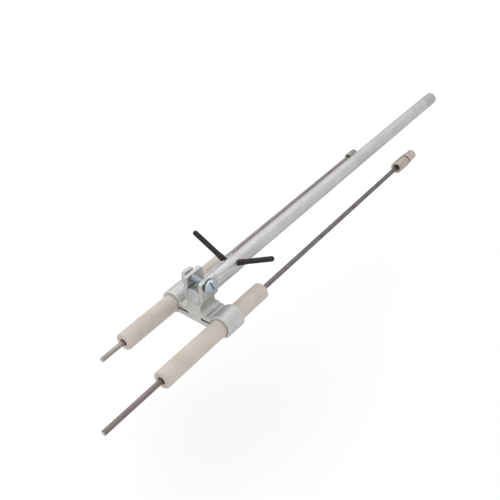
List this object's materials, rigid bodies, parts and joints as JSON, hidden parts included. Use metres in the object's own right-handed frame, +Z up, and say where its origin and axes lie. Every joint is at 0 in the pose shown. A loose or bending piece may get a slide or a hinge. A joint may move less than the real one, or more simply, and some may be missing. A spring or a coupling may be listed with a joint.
{
  "type": "ignition electrode set",
  "caption": "Ignition electrode pair for a burner head: ceramic-insulated electrodes in a cast clamp on a long support rod with centring legs.",
  "frame": {"origin": "middle of the set across X and along Y, at the height of the clamp rings' lowest points", "axes": "+X to the right across the pair seen from the spark tips, +Y from the tips back towards the terminals, +Z up from the ceramics towards the support rod"},
  "size_m": [0.0624, 0.4274, 0.0435],
  "materials": {
    "cast_aluminium": "as-cast, fine grain",
    "bright_aluminium": "drawn, satin",
    "zinc_plate": "bright zinc plate with a bluish tint",
    "dark_washer": "dull plated spring steel",
    "nickel_plate": "warm nickel plate",
    "bright_wire": "clean heat-resistant wire",
    "browned_wire": "heat-browned wire",
    "dark_steel": "dull dark drawn steel",
    "black_steel": "matt black oxide",
    "ceramic": "unglazed, matt",
    "cement": "rough dark cement"
  },
  "bodies": {
    "support": {"support_rod": "bright_aluminium"},
    "sleeve": {"centring_sleeve": "bright_aluminium", "left_centring_leg": "black_steel", "right_centring_leg": "black_steel"},
    "sleeve_screw": {"sleeve_set_screw": "black_steel"},
    "clamp": {"clamp_body": "cast_aluminium", "clamp_spring_washer": "dark_washer", "clamp_square_nut": "zinc_plate"},
    "cross_screw": {"clamp_screw": "zinc_plate"},
    "left_pinch_screw": {"left_ring_screw": "zinc_plate"},
    "right_pinch_screw": {"right_ring_screw": "zinc_plate"},
    "left_electrode": {"left_insulator": "ceramic", "left_electrode_tip": "bright_wire", "left_lead_rod": "dark_steel", "left_front_seal": "cement", "left_rear_seal": "cement", "left_terminal_ferrule": "nickel_plate"},
    "right_electrode": {"right_insulator": "ceramic", "right_electrode_tip": "browned_wire", "right_lead_rod": "dark_steel", "right_front_seal": "cement", "right_rear_seal": "cement", "right_terminal_sleeve": "nickel_plate"},
    "right_cap": {"right_terminal_nut": "nickel_plate"}
  },
  "joints": [
    {"name": "sleeve_slide", "type": "slide", "parent": "support", "child": "sleeve", "axis": [0, 1, 0], "range_m": [-0.002, 0.05]},
    {"name": "sleeve_screw_turn", "type": "hinge", "parent": "sleeve", "child": "sleeve_screw", "pos_m": [0, -0.07055, 0.0171], "axis": [0, 0, -1], "continuous": true},
    {"name": "clamp_swivel", "type": "hinge", "parent": "sleeve", "child": "clamp", "pos_m": [0, -0.1047, 0.0242], "axis": [0, 1, 0], "range_deg": [-40, 40]},
    {"name": "cross_screw_turn", "type": "hinge", "parent": "clamp", "child": "cross_screw", "pos_m": [0, -0.10805, 0.0346], "axis": [1, 0, 0], "continuous": true},
    {"name": "left_pinch_turn", "type": "hinge", "parent": "clamp", "child": "left_pinch_screw", "pos_m": [-0.0083, -0.10505, 0.0036], "axis": [0, 0, -1], "continuous": true},
    {"name": "right_pinch_turn", "type": "hinge", "parent": "clamp", "child": "right_pinch_screw", "pos_m": [0.0083, -0.10505, 0.0036], "axis": [0, 0, -1], "continuous": true},
    {"name": "left_electrode_slide", "type": "slide", "parent": "clamp", "child": "left_electrode", "axis": [0, 1, 0], "range_m": [-0.035, 0.03]},
    {"name": "right_electrode_slide", "type": "slide", "parent": "clamp", "child": "right_electrode", "axis": [0, 1, 0], "range_m": [-0.025, 0.03]},
    {"name": "right_cap_turn", "type": "hinge", "parent": "right_electrode", "child": "right_cap", "pos_m": [0.0197, 0.1394, 0.0081], "axis": [0, 1, 0], "continuous": true}
  ]
}
